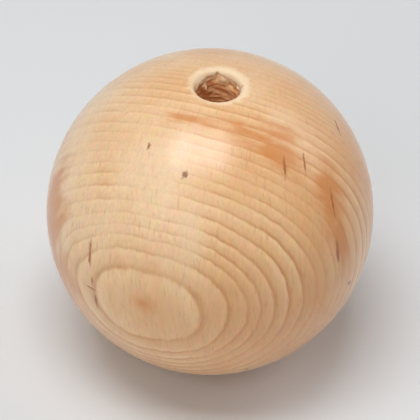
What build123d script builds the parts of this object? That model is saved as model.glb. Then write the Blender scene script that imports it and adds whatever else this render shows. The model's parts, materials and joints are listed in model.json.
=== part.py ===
from build123d import *
import os

# Wooden bead: a turned ball with a cord hole drilled right through it, along
# the grain. It is one piece of wood. The origin is the centre of the ball,
# which is also halfway along the hole, and +Z runs along the hole. The bead
# stands upright on the rim of its own hole. All sizes are in millimetres.

# Driving dimensions
ball_diameter = 40.0
bore_diameter = 5.5  # the cord hole, from end to end
rim_radius = 0.6  # the worn edge between the hole and the ball

ball_radius = ball_diameter / 2
bore_radius = bore_diameter / 2

with BuildPart() as bead:
    with BuildSketch(Plane.XZ) as half_section:
        # the ball's half circle, from pole to pole
        with BuildLine():
            CenterArc((0, 0), ball_radius, -90, 180)
            Line((0, ball_radius), (0, -ball_radius))
        make_face()
        # the cord hole takes the middle out, and its mouths are worn round
        Rectangle(bore_diameter, ball_diameter, mode=Mode.SUBTRACT)
        fillet(half_section.vertices(), rim_radius)
    revolve(axis=Axis.Z)

bead.part.label = "bead"

os.makedirs("parts", exist_ok=True)
export_step(bead.part, "parts/bead.step")

# the straight wall of the hole ends where the rounded mouths begin
mouth_height = ((ball_radius - rim_radius) ** 2 - (bore_radius + rim_radius) ** 2) ** 0.5
print(f"straight wall of the hole: {2 * mouth_height:.3f} mm long")
print(f"height over the rims: {2 * (mouth_height + rim_radius):.3f} mm")
print(f"volume: {bead.part.volume:.1f} mm3")
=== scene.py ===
import bpy
import json
from math import atan2, cos, exp, pi, radians, sin, sqrt
from mathutils import Matrix, Vector, noise


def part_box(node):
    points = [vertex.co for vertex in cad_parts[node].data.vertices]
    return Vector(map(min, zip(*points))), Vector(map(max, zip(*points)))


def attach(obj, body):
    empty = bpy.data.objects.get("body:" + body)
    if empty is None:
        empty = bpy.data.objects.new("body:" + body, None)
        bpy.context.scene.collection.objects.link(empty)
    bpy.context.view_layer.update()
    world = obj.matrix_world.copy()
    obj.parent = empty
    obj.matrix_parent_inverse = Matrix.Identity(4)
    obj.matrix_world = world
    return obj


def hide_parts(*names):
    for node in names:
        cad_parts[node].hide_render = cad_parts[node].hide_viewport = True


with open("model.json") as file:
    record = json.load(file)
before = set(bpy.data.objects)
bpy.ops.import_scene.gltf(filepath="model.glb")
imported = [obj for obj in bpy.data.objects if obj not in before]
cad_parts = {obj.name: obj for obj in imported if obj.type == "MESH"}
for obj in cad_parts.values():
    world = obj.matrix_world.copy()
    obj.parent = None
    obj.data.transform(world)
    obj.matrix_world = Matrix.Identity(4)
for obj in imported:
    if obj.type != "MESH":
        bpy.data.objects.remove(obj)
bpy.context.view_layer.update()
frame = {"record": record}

# ---------------------------------------------------------------------------
# The bead's body: a ball turned on a lathe from one piece of pale maple and
# sanded smooth. Its section is drawn from the middle of the cord hole to the
# ball's equator, mirrored, and turned round the hole, as the lathe does it.

MM = 0.001
low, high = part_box("bead")
hole = frame["record"]["mounts"][0]["dims"]
BALL_R = high.x
HOLE_R = hole["r_mm"] * MM
WALL_TOP = hole["length_mm"] * MM / 2
RIM_R = high.z - WALL_TOP
rim_centre = Vector((HOLE_R + RIM_R, 0, WALL_TOP))
rim_end = atan2(rim_centre.z, rim_centre.x)

# the section's divisions: fine where the drill has torn the wood
TORN_DEPTH = 6.0 * MM
TORN_STEPS = 55
DEEP_STEPS = 12
RIM_STEPS = 12
COLLAR_ANGLE = radians(4.5)
COLLAR_STEPS = 12
BALL_STEPS = 76
TURNED_STEPS = 256
WELD = 0.01 * MM

bpy.ops.object.select_all(action="DESELECT")
bpy.ops.mesh.primitive_plane_add(size=RIM_R, location=(HOLE_R, 0, 0))
bead = bpy.context.object
bead.name = "turned_bead"
bpy.ops.object.transform_apply(location=True, rotation=True, scale=True)
bpy.ops.object.mode_set(mode="EDIT")
bpy.ops.mesh.merge(type="CENTER")
for steps, length in ((DEEP_STEPS, WALL_TOP - TORN_DEPTH), (TORN_STEPS, TORN_DEPTH)):
    for step in range(steps):
        bpy.ops.mesh.extrude_region_move(TRANSFORM_OT_translate={"value": (0, 0, length / steps)})
for steps, angle, centre in (
    (RIM_STEPS, pi - rim_end, rim_centre),
    (COLLAR_STEPS, COLLAR_ANGLE, (0, 0, 0)),
    (BALL_STEPS, rim_end - COLLAR_ANGLE, (0, 0, 0)),
):
    bpy.ops.mesh.spin(steps=steps, angle=angle, center=centre, axis=(0, -1, 0))
bpy.ops.mesh.select_all(action="SELECT")
bpy.ops.mesh.symmetrize(direction="POSITIVE_Z")
bpy.ops.mesh.select_all(action="SELECT")
bpy.ops.mesh.spin(steps=TURNED_STEPS, angle=2 * pi, center=(0, 0, 0), axis=(0, 0, 1))
bpy.ops.mesh.select_all(action="SELECT")
bpy.ops.mesh.remove_doubles(threshold=WELD)
bpy.ops.mesh.normals_make_consistent(inside=False)
bpy.ops.object.mode_set(mode="OBJECT")
bpy.ops.object.shade_smooth()

# ---------------------------------------------------------------------------
# The cord hole: drilled along the grain after turning, so its wall is rough,
# with ridges that the drill tore round it, and its mouths are broken and worn.

# each dab: degrees round the hole, mm below the mouth, half width and half
# height in mm, and how far it stands in (+) or is torn out (-), in mm
TOP_DABS = (
    (150, 0.35, 1.10, 0.45, 0.30),
    (168, 0.55, 0.60, 0.35, 0.12),
    (124, 1.55, 0.18, 0.45, 0.55),
    (132, 1.15, 0.24, 0.25, 0.35),
    (92, 0.10, 0.22, 0.45, -0.28),
    (55, 1.05, 0.32, 0.22, -0.35),
    (38, 1.30, 0.30, 0.20, -0.25),
    (10, -0.15, 0.16, 0.35, -0.30),
    (28, 0.55, 0.25, 0.25, 0.18),
    (75, 0.60, 0.45, 0.30, 0.14),
    (205, 0.40, 0.50, 0.30, -0.15),
    (300, 0.30, 0.60, 0.30, -0.12),
)
BOTTOM_DABS = (
    (40, 0.40, 0.80, 0.35, 0.20),
    (120, 0.60, 0.40, 0.30, -0.22),
    (200, 0.50, 1.00, 0.40, 0.24),
    (290, 0.90, 0.30, 0.25, -0.28),
)
# the ridges and the finer fuzz between them: depth in mm, and noise cells to the mm across the
# hole and along it; both slope a little, begin just above the wall's top, and die away over
# the rim within TORN_REACH
RIDGE_DEPTH = 0.16
RIDGE_CELLS = (1.0, 2.4)
RIDGE_SLOPE = 0.4
FUZZ_DEPTH = 0.07
FUZZ_CELLS = (1.9, 6.5)
FUZZ_SLOPE = -1.0
ROUGH_ABOVE = 0.35
ROUGH_SPAN = 0.7
TORN_REACH = 1.2 * RIM_R


def torn(place, dabs):
    """How far the wall stands into the hole at a place near a mouth, in mm."""
    radius = sqrt(place.x**2 + place.y**2)
    below = (WALL_TOP - abs(place.z)) / MM
    p = place / MM
    across, along = RIDGE_CELLS
    ridges = noise.noise(Vector((p.x * across, p.y * across, p.z * along + p.x * RIDGE_SLOPE)))
    across, along = FUZZ_CELLS
    fuzz = noise.noise(Vector((p.x * across, p.y * across, p.z * along + p.y * FUZZ_SLOPE)))
    push = RIDGE_DEPTH * ridges + FUZZ_DEPTH * fuzz
    push *= min(1, max(0, (below + ROUGH_ABOVE) / ROUGH_SPAN))
    for around, depth, half_width, half_height, amount in dabs:
        turn = (atan2(place.y, place.x) - radians(around) + pi) % (2 * pi) - pi
        aside = turn * HOLE_R / MM / half_width
        down = (below - depth) / half_height
        push += amount * exp(-(aside**2 + down**2))
    return push * max(0, 1 - max(0, radius - HOLE_R) / TORN_REACH)


raised = bead.data.attributes.new("raised", "FLOAT", "POINT")
for v in bead.data.vertices:
    radius = sqrt(v.co.x**2 + v.co.y**2)
    if radius < HOLE_R + TORN_REACH:
        push = torn(v.co, TOP_DABS if v.co.z > 0 else BOTTOM_DABS)
        raised.data[v.index].value = push
        inwards = Vector((-v.co.x, -v.co.y, 0)) / radius
        v.co += inwards * push * MM

# ---------------------------------------------------------------------------
# The wood: maple, pale and close grained, sanded and lacquered clear, so it has
# a soft satin sheen. Its years are cylinders round the tree's pith, which lies
# behind the ball; each ends in a thin brown line, with pale spring wood after it.


def linear(colour):
    """A colour written as sRGB hex, as the shader's linear values."""
    parts = [int(colour[i : i + 2], 16) / 255 for i in (1, 3, 5)]
    return [c / 12.92 if c <= 0.04045 else ((c + 0.055) / 1.055) ** 2.4 for c in parts] + [1.0]


def add(tree, kind, inputs=(), **settings):
    """Adds a shader node with its settings, and sets or links its inputs by name or in order."""
    node = tree.nodes.new("ShaderNode" + kind)
    for name, value in settings.items():
        setattr(node, name, value)
    sockets = [socket for socket in node.inputs if socket.enabled]
    named = {socket.name: socket for socket in sockets}
    for key, value in inputs.items() if isinstance(inputs, dict) else enumerate(inputs):
        socket = named[key] if isinstance(key, str) else sockets[key]
        if isinstance(value, bpy.types.Node):
            value = next(output for output in value.outputs if output.enabled)
        if isinstance(value, bpy.types.NodeSocket):
            tree.links.new(value, socket)
        else:
            socket.default_value = value
    return node


def on_ball(longitude, latitude):
    """A place on the ball in mm: degrees from the front towards +X, and degrees up."""
    east, north = radians(longitude), radians(latitude)
    return BALL_R / MM * Vector((cos(north) * sin(east), -cos(north) * cos(east), sin(north)))


# the pith's line: a point of it in mm, and its direction up the tree
PITH = Vector((8.7, 22.53, -1.05))
GRAIN = Vector((-0.131, 0.097, 0.987)).normalized()
log_frame = Matrix.Translation(PITH) @ GRAIN.to_track_quat("Z", "Y").to_matrix().to_4x4()

# the years' lines: the outermost one's radius, and the widths inwards from it, in mm
BARK_LINE = 44.5
YEARS = (
    1.0, 0.75, 0.65, 0.55, 0.7, 0.87, 0.98, 1.0, 0.85, 1.11, 0.94, 1.0, 1.1, 1.4, 1.2, 1.2, 1.3,
    1.1, 0.95, 0.85, 0.7, 0.9, 1.2, 1.4, 1.1, 1.3, 1.5, 1.2, 1.0, 1.3, 1.6, 1.4, 1.2, 1.5, 1.7,
)
# how dark one year's wood is, from its spring (0) to its last line (1)
SEASONS = ((0.0, 0.7), (0.08, 0.08), (0.2, 0.08), (0.45, 0.32), (0.75, 0.5), (0.91, 0.92), (1.0, 1.0))
# how strongly the lines show, by radius in mm
BOLDNESS = (
    (20, 0.25), (24, 0.4), (27, 0.75), (31.5, 1.1), (33, 0.9), (35, 0.38), (37, 0.55), (39, 1.0),
    (44, 0.85),
)
MOST_BOLD = 1.25

wood = bpy.data.materials.new("lacquered_maple")
wood.use_nodes = True
tree = wood.node_tree
shader = tree.nodes["Principled BSDF"]

# the same place in mm on the bead, and in the log, whose Z is the pith
on_bead = add(tree, "TexCoord").outputs["Object"]
in_mm = add(tree, "VectorMath", (on_bead, (1 / MM,) * 3), operation="MULTIPLY")
log_place = {"Vector": in_mm, "Location": PITH, "Rotation": log_frame.to_euler()}
in_log = add(tree, "Mapping", log_place, vector_type="TEXTURE")
mm_parts = add(tree, "SeparateXYZ", (in_mm,))
log_parts = add(tree, "SeparateXYZ", (in_log,))
log_level = add(tree, "CombineXYZ", (log_parts.outputs["X"], log_parts.outputs["Y"]))
from_pith = add(tree, "VectorMath", (log_level,), operation="LENGTH")

# a cleft place is mm from the pith, mm round it at ARC_RADIUS, and mm up the tree
ARC_RADIUS = 40.0
round_pith = add(tree, "Math", (log_parts.outputs["Y"], log_parts.outputs["X"]), operation="ARCTAN2")
arc = add(tree, "Math", (round_pith, ARC_RADIUS), operation="MULTIPLY")
cleft = add(tree, "CombineXYZ", (from_pith, arc, log_parts.outputs["Z"]))


def cleft_place(place):
    """The same for a place in mm, for setting a mark in the wood."""
    at = log_frame.inverted() @ place
    return Vector((at.xy.length, atan2(at.y, at.x) * ARC_RADIUS, at.z))


def clouds(space, per_mm, thin, thick, detail=2.0):
    """Soft clouds in a space of mm, so many to the mm each way, and their values thin and thick."""
    stretched = add(tree, "VectorMath", (space, per_mm), operation="MULTIPLY")
    cloud = add(tree, "TexNoise", {"Vector": stretched, "Scale": 1.0, "Detail": detail})
    span = {"Value": cloud, "From Min": 0.3, "From Max": 0.7, "To Min": thin, "To Max": thick}
    return add(tree, "MapRange", span, clamp=False)


# the lines wander slowly, 0.13 mm each way, and quiver a little
wander = clouds(in_log, (0.1, 0.1, 0.03), -0.13, 0.13)
quiver = clouds(in_log, (1.0, 1.0, 0.3), -0.045, 0.045, detail=3.0)
wavy = add(tree, "Math", (add(tree, "Math", (from_pith, wander)), quiver))
share = add(tree, "Math", (wavy, BARK_LINE), operation="DIVIDE")

lines = [BARK_LINE]
for width in YEARS:
    lines.append(lines[-1] - width)
lines.reverse()
calendar = add(tree, "FloatCurve", {"Value": share})
points = calendar.mapping.curves[0].points
points[0].location = (lines[0] / BARK_LINE, 0)
for year, line in enumerate(lines[1:-1], 1):
    points.new(line / BARK_LINE, year / len(YEARS))
for point in points:
    point.handle_type = "VECTOR"
calendar.mapping.update()
years = add(tree, "Math", (calendar, len(YEARS)), operation="MULTIPLY")
season = add(tree, "FloatCurve", {"Value": add(tree, "Math", (years,), operation="FRACT")})
boldness = add(tree, "FloatCurve", {"Value": share})
for node, stops, reach, most in ((season, SEASONS, 1.0, 1.0), (boldness, BOLDNESS, BARK_LINE, MOST_BOLD)):
    points = node.mapping.curves[0].points
    for number, (position, value) in enumerate(stops):
        if 0 < number < len(stops) - 1:
            point = points.new(position / reach, value / most)
        else:
            point = points[0 if number == 0 else len(points) - 1]
            point.location = (min(1.0, position / reach), value / most)
        point.handle_type = "VECTOR"
    node.mapping.update()

# the wood is painted creamier towards -X and the top, which is painted light, and warmer towards +X and
# the foot, which is painted shade, with slow clouds of its own tone in both: the lean is above 0 where it
# is warm, and changes by so much in a mm
PAINTED_LIGHT_ACROSS = 0.022
PAINTED_LIGHT_UP = -0.010
slow_clouds = clouds(in_log, (0.13, 0.13, 0.05), -0.18, 0.42)
tone_and_painted_light = add(tree, "Math", (mm_parts.outputs["X"], PAINTED_LIGHT_ACROSS, slow_clouds), operation="MULTIPLY_ADD")
tone_and_painted_light = add(tree, "Math", (mm_parts.outputs["Z"], PAINTED_LIGHT_UP, tone_and_painted_light), operation="MULTIPLY_ADD")

# the lines come and go along their length, and are a quarter as strong where the wood is
# creamiest and highest as they are low down on the warm side; their fading there is painted light,
# washing them out
FAINTER_UP = -0.032
fading = clouds(in_log, (0.3, 0.3, 0.09), 0.5 * MOST_BOLD, 1.4 * MOST_BOLD)
clearness = add(tree, "Math", (mm_parts.outputs["Z"], FAINTER_UP, tone_and_painted_light), operation="MULTIPLY_ADD")
clear_span = {"Value": clearness, "From Min": -1.0, "From Max": -0.12, "To Min": 0.25, "To Max": 1.0}
clearness = add(tree, "MapRange", clear_span)
contrast = add(tree, "Math", (boldness, fading), operation="MULTIPLY")
contrast = add(tree, "Math", (contrast, clearness), operation="MULTIPLY")
# a line's brown and the pale wood beside it part from one middle tone
MIDDLE = 0.45
swing = add(tree, "Math", (season, MIDDLE), operation="SUBTRACT")
swing = add(tree, "Math", (swing, contrast), operation="MULTIPLY")
late = add(tree, "Math", (swing, MIDDLE), use_clamp=True)

PALE = linear("#FDD39F")
BROWN = linear("#D2935A")
WARM_AND_PAINTED_SHADE = linear("#E29E5F")
CREAM_AND_PAINTED_LIGHT = linear("#FFE4BE")
wood_colour = add(tree, "Mix", (late, PALE, BROWN), data_type="RGBA")
# the warm mix is painted shade towards +X and the foot, and the cream mix painted light towards -X and
# the top, over clouds of the wood's own tone
warm_and_shade_part = add(tree, "Math", (tone_and_painted_light, 1.2), operation="MULTIPLY", use_clamp=True)
wood_colour = add(tree, "Mix", (warm_and_shade_part, wood_colour, WARM_AND_PAINTED_SHADE), data_type="RGBA")
cream_and_light_part = add(tree, "Math", (tone_and_painted_light, -1.05), operation="MULTIPLY", use_clamp=True)
wood_colour = add(tree, "Mix", (cream_and_light_part, wood_colour, CREAM_AND_PAINTED_LIGHT), data_type="RGBA")

# fine fibres along the grain, 0.3 mm thick, and a mottle that changes the red least and the
# blue most from place to place; maple's own fibres are finer still, and wouldn't show
fibres = clouds(in_log, (3.6, 3.6, 0.3), 0.95, 1.05, detail=3.0)
wood_colour = add(tree, "VectorMath", (wood_colour, fibres), operation="MULTIPLY")
mottle = add(tree, "VectorMath", (in_log, (1.3, 1.3, 0.5)), operation="MULTIPLY")
mottle = add(tree, "TexNoise", {"Vector": mottle, "Scale": 1.0, "Detail": 3.0}).outputs["Color"]
MOTTLE = (0.19, 0.27, 0.37)
MOTTLE_LEAST = (0.905, 0.865, 0.815)
mottle = add(tree, "VectorMath", (mottle, MOTTLE, MOTTLE_LEAST), operation="MULTIPLY_ADD")
wood_colour = add(tree, "VectorMath", (wood_colour, mottle), operation="MULTIPLY")
# rays: thin brown sheets from the pith outwards, 2.5 mm long, 0.25 mm thick and 1.4 mm high
RAY = linear("#C0743C")
rays = clouds(cleft, (0.4, 4.0, 0.7), -0.36, 0.36, detail=1.0)
rays = add(tree, "Math", (rays, 0.2), operation="SUBTRACT", use_clamp=True)
wood_colour = add(tree, "Mix", (rays, wood_colour, RAY), data_type="RGBA")

# the search for the nearest mark starts this many half sizes away from it
FARTHEST = 9.0


def mark(places, ragged, start, end):
    """How much of a mark there is: each place is its centre, half sizes and fading, in cleft mm."""
    nearest = FARTHEST
    for centre, halves, faded in places:
        offset = add(tree, "VectorMath", (cleft, cleft_place(centre)), operation="SUBTRACT")
        scaled = add(tree, "VectorMath", (offset, halves), operation="DIVIDE")
        distance = add(tree, "VectorMath", (scaled,), operation="LENGTH")
        distance = add(tree, "Math", (distance, faded))
        nearest = add(tree, "Math", (distance, nearest), operation="MINIMUM")
    nearest = add(tree, "Math", (nearest, ragged))
    span = {"Value": nearest, "From Min": start, "From Max": end, "To Min": 1.0, "To Max": 0.0}
    return add(tree, "MapRange", span, interpolation_type="SMOOTHSTEP")


# orange-brown stains, where sap has dried: longitude, latitude, half sizes, fading
STAINS = (
    (57.5, 34, (3.4, 2.3, 4.8), 0.0),
    (55, 18, (2.6, 1.1, 5.0), 0.05),
    (38, 64, (1.5, 9.0, 10.0), 0.45),
    (52, 62, (2.2, 4.5, 4.5), 0.45),
    (46, 55.5, (1.7, 4.0, 4.4), 0.0),
    (-21.3, 4.3, (1.5, 2.4, 2.4), 0.66),
    (-25, 72, (1.4, 8.0, 7.0), 0.6),
    (-75, 9, (3.2, 4.2, 7.5), 0.0),
    (-62, -12, (3.0, 5.0, 7.0), 0.35),
    (150, 22, (3.0, 1.6, 6.0), 0.1),
    (-140, -30, (2.5, 2.0, 5.0), 0.2),
)
SAP = linear("#D4802F")
stain_edge = clouds(cleft, (1.1, 0.22, 0.16), -0.4, 0.4, detail=3.0)
stain_places = [(on_ball(lon, lat), halves, faded) for lon, lat, halves, faded in STAINS]
stain = mark(stain_places, stain_edge, 0.4, 1.5)
stain_part = add(tree, "Math", (stain, 0.8), operation="MULTIPLY")
wood_colour = add(tree, "Mix", (stain_part, wood_colour, SAP), data_type="RGBA")

# dark flecks, thin sheets of bark shut in along the rays, and one thin crack across them:
# longitude, latitude, length up the tree and thickness in mm
FLECKS = (
    (-44.8, 12.7, 3.4, 0.46), (-42, 3.1, 1.2, 0.36), (-40, -5.4, 2.2, 0.46), (54.4, 49.3, 3.4, 0.34),
    (42, 51.7, 2.8, 0.42), (94, 43, 2.2, 0.4), (57.4, 32.5, 4.6, 0.36), (52.2, 15.3, 3.6, 0.6),
    (150, 30, 2.8, 0.4), (-120, -10, 3.6, 0.45), (-160, 40, 1.8, 0.35), (120, -25, 3.0, 0.4),
    (20, -35, 2.2, 0.36), (-95, -20, 1.6, 0.35), (175, -15, 3.2, 0.42), (-42.4, -0.4, 0.26, 1.9),
)
# small dark pits, where the wood has broken out: longitude, latitude and width in mm
PITS = (
    (-14.8, 52, 0.75), (-42.8, 56.2, 0.5), (59.4, -2.9, 0.6), (-100, 25, 0.6), (100, 5, 0.55),
    (160, -40, 0.6),
)
MARK_DEPTH = 1.5
BARK = linear("#A85A20")
PIT = linear("#8C4C1A")
mark_edge = clouds(in_log, (2.6, 2.6, 0.9), -0.35, 0.35)
fleck_places = [
    (on_ball(lon, lat), (MARK_DEPTH, thick / 2, long / 2), 0.0) for lon, lat, long, thick in FLECKS
]
fleck = mark(fleck_places, mark_edge, 0.3, 1.25)
fleck_part = add(tree, "Math", (fleck, 0.95), operation="MULTIPLY")
wood_colour = add(tree, "Mix", (fleck_part, wood_colour, BARK), data_type="RGBA")
pit_places = [(on_ball(lon, lat), (MARK_DEPTH, wide / 2, wide / 2), 0.0) for lon, lat, wide in PITS]
pit = mark(pit_places, mark_edge, 0.3, 1.25)
pit_part = add(tree, "Math", (pit, 0.95), operation="MULTIPLY")
wood_colour = add(tree, "Mix", (pit_part, wood_colour, PIT), data_type="RGBA")

# the hole's mouths: bare pale fibres where the lacquer has worn off, in a ring 0.35 to 0.75 mm
# wide, and wider still on the +X and +Y sides
BARE = linear("#FFE6C3")
WIDER_X = 0.25
WIDER_Y = 0.15
level = add(tree, "CombineXYZ", (mm_parts.outputs["X"], mm_parts.outputs["Y"]))
off_axis = add(tree, "VectorMath", (level,), operation="LENGTH")
x_side = add(tree, "Math", (mm_parts.outputs["X"], off_axis), operation="DIVIDE")
y_side = add(tree, "Math", (mm_parts.outputs["Y"], off_axis), operation="DIVIDE")
bare_width = clouds(in_mm, (1.4, 1.4, 1.4), 0.35, 0.75, detail=3.0)
bare_width = add(tree, "Math", (x_side, WIDER_X, bare_width), operation="MULTIPLY_ADD")
bare_width = add(tree, "Math", (y_side, WIDER_Y, bare_width), operation="MULTIPLY_ADD")
beyond = add(tree, "Math", (off_axis, HOLE_R / MM), operation="SUBTRACT")
bare_edge = add(tree, "Math", (bare_width, beyond), operation="SUBTRACT")
bare_span = {"Value": bare_edge, "From Min": -0.75, "From Max": 0.15}
bare = add(tree, "MapRange", bare_span, interpolation_type="SMOOTHSTEP")
bare_colour = add(tree, "Mix", (0.2, BARE, wood_colour), data_type="RGBA")
wood_colour = add(tree, "Mix", (bare, wood_colour, bare_colour), data_type="RGBA")

# inside the mouths, raw wood, browner in streaks round the hole, with both wall colours painted paler
# than the raw wood is, as painted light reaching into the hole; it starts deeper where the drill left the
# wall standing in
RAW_AND_PAINTED_LIGHT = linear("#FFDAA8")
TORN_AND_PAINTED_LIGHT = linear("#E0955E")
above = add(tree, "Math", (mm_parts.outputs["Z"],), operation="ABSOLUTE")
below = add(tree, "Math", (WALL_TOP / MM, above), operation="SUBTRACT")
streaks = clouds(in_mm, (1.0, 1.0, 3.5), -0.5, 0.5, detail=4.0)
raised_part = add(tree, "Attribute", attribute_name="raised").outputs["Fac"]
depth = add(tree, "Math", (raised_part, -2.2, below), operation="MULTIPLY_ADD")
depth = add(tree, "Math", (streaks, 0.7, depth), operation="MULTIPLY_ADD")
inside_span = {"Value": depth, "From Min": -0.05, "From Max": 1.0}
inside = add(tree, "MapRange", inside_span, interpolation_type="SMOOTHSTEP")
hole_span = {"Value": beyond, "From Min": 0.3, "From Max": 0.5, "To Min": 1.0, "To Max": 0.0}
in_hole = add(tree, "MapRange", hole_span)
inside = add(tree, "Math", (inside, in_hole), operation="MULTIPLY")
torn_part = add(tree, "Math", (streaks, 0.5), use_clamp=True)
wall_and_painted_light = add(tree, "Mix", (torn_part, RAW_AND_PAINTED_LIGHT, TORN_AND_PAINTED_LIGHT), data_type="RGBA")
wood_colour = add(tree, "Mix", (inside, wood_colour, wall_and_painted_light), data_type="RGBA")
tree.links.new(wood_colour.outputs["Result"], shader.inputs["Base Color"])

# spring wood sinks a little under the lacquer, the fibres show through it, and the pits are
# the deepest
LACQUER_RELIEF = 0.02 * MM
PIT_DEPTH = 0.12 * MM
relief = add(tree, "Math", (fibres, late), operation="ADD")
relief = add(tree, "Math", (pit, -PIT_DEPTH / LACQUER_RELIEF, relief), operation="MULTIPLY_ADD")
relief = add(tree, "Bump", {"Height": relief, "Distance": LACQUER_RELIEF, "Strength": 0.5})
tree.links.new(relief.outputs["Normal"], shader.inputs["Normal"])

# sanded maple is dull by itself; the clear lacquer over it has the sheen, up to the bare rim
shader.inputs["Specular IOR Level"].default_value = 0.2
shader.inputs["Roughness"].default_value = 0.5
shader.inputs["Coat Roughness"].default_value = 0.27
lacquer = add(tree, "MapRange", {"Value": bare, "To Min": 1.0, "To Max": 0.0})
tree.links.new(lacquer.outputs["Result"], shader.inputs["Coat Weight"])
bead.data.materials.append(wood)

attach(bead, "root")
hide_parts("bead")

# ---------------------------------------------------------------------------
# The studio: a sheet of pale matt paper, a soft box overhead, a fill
# from the right and one from the left, and a pale room, which the camera and the
# lacquer's reflections see.

PAPER = linear("#ECEEF0")
BLACK = linear("#000000")
WHITE = linear("#FFFFFF")
FLOOR_SIZE = 4.0
bpy.ops.object.select_all(action="DESELECT")
bpy.ops.mesh.primitive_plane_add(size=FLOOR_SIZE, location=(0, 0, low.z))
floor = bpy.context.object
floor.name = "floor"
bpy.ops.object.transform_apply(location=True, rotation=True, scale=True)

# the room lights things at one strength and is shown at another, and the paper fades into it
# from FADE_START to FADE_END, in metres from the bead
ROOM_LIGHT = 0.2
ROOM_SHOWN = 0.72
FADE_START = 0.10
FADE_END = 0.50


def shown(tree):
    """1 for the camera's rays and for reflections, and 0 for the rays that light things."""
    path = add(tree, "LightPath").outputs
    return add(tree, "Math", (path["Is Camera Ray"], path["Is Glossy Ray"]), operation="MAXIMUM")


paper = bpy.data.materials.new("pale_matt_paper")
paper.use_nodes = True
sheet = paper.node_tree
paper_shader = sheet.nodes["Principled BSDF"]
on_floor = add(sheet, "TexCoord").outputs["Object"]
from_bead = add(sheet, "VectorMath", (on_floor,), operation="LENGTH")
fade_span = {"Value": from_bead, "From Min": FADE_START, "From Max": FADE_END}
room_part = add(sheet, "MapRange", fade_span, interpolation_type="SMOOTHSTEP")
room_part = add(sheet, "Math", (room_part, shown(sheet)), operation="MULTIPLY")
paper_colour = add(sheet, "Mix", (room_part, PAPER, BLACK), data_type="RGBA")
glow = add(sheet, "Math", (room_part, ROOM_SHOWN), operation="MULTIPLY")
sheet.links.new(paper_colour.outputs["Result"], paper_shader.inputs["Base Color"])
sheet.links.new(glow.outputs["Value"], paper_shader.inputs["Emission Strength"])
paper_shader.inputs["Emission Color"].default_value = WHITE
paper_shader.inputs["Roughness"].default_value = 0.9
paper_shader.inputs["Specular IOR Level"].default_value = 0.0
floor.data.materials.append(paper)

# each light: its place, its width and height in metres, and its watts
LIGHTS = (
    ("soft_box", (-0.062, -0.052, 0.40), (0.27, 0.18), 1.02),
    ("right_fill", (0.45, 0.22, 0.35), (0.40, 0.40), 0.59),
    ("left_fill", (-0.24, -0.50, 0.40), (0.40, 0.40), 0.82),
)
for name, place, (width, height), watts in LIGHTS:
    light = bpy.data.lights.new(name, "AREA")
    light.shape = "RECTANGLE"
    light.size = width
    light.size_y = height
    light.energy = watts
    lamp = bpy.data.objects.new(name, light)
    bpy.context.scene.collection.objects.link(lamp)
    lamp.location = place
    # it faces the bead, with its width level
    away = lamp.location.normalized()
    wide = (Vector((1, 0, 0)) - away * away.x).normalized()
    lamp.rotation_euler = Matrix((wide, away.cross(wide), away)).transposed().to_euler()

world = bpy.data.worlds.new("pale_room")
world.use_nodes = True
room = world.node_tree
strength = add(room, "MapRange", {"Value": shown(room), "To Min": ROOM_LIGHT, "To Max": ROOM_SHOWN})
room.nodes["Background"].inputs["Color"].default_value = WHITE
room.links.new(strength.outputs["Result"], room.nodes["Background"].inputs["Strength"])
bpy.context.scene.world = world

# the camera looks down at the ball, a little tilted; BALL_SHARE is how much of the view's
# width the ball fills, and CAMERA_SHIFT how far it sits below the middle
CAMERA_AWAY = 15 * BALL_R
CAMERA_UP = radians(41.4)
CAMERA_ROLL = radians(3.46)
CAMERA_SHIFT = 0.00357
BALL_SHARE = 0.77857
SENSOR = 36
CLIP_START = 0.01
camera_data = bpy.data.cameras.new("camera")
camera = bpy.data.objects.new("camera", camera_data)
bpy.context.scene.collection.objects.link(camera)
camera.location = (0, -CAMERA_AWAY * cos(CAMERA_UP), CAMERA_AWAY * sin(CAMERA_UP))
tilted = Matrix.Rotation(pi / 2 - CAMERA_UP, 3, "X") @ Matrix.Rotation(CAMERA_ROLL, 3, "Z")
camera.rotation_euler = tilted.to_euler()
camera_data.sensor_width = SENSOR
camera_data.lens = SENSOR * BALL_SHARE / 2 * sqrt((CAMERA_AWAY / BALL_R) ** 2 - 1)
camera_data.shift_y = CAMERA_SHIFT
camera_data.clip_start = CLIP_START
bpy.context.scene.camera = camera

bpy.context.scene.view_settings.view_transform = "Standard"
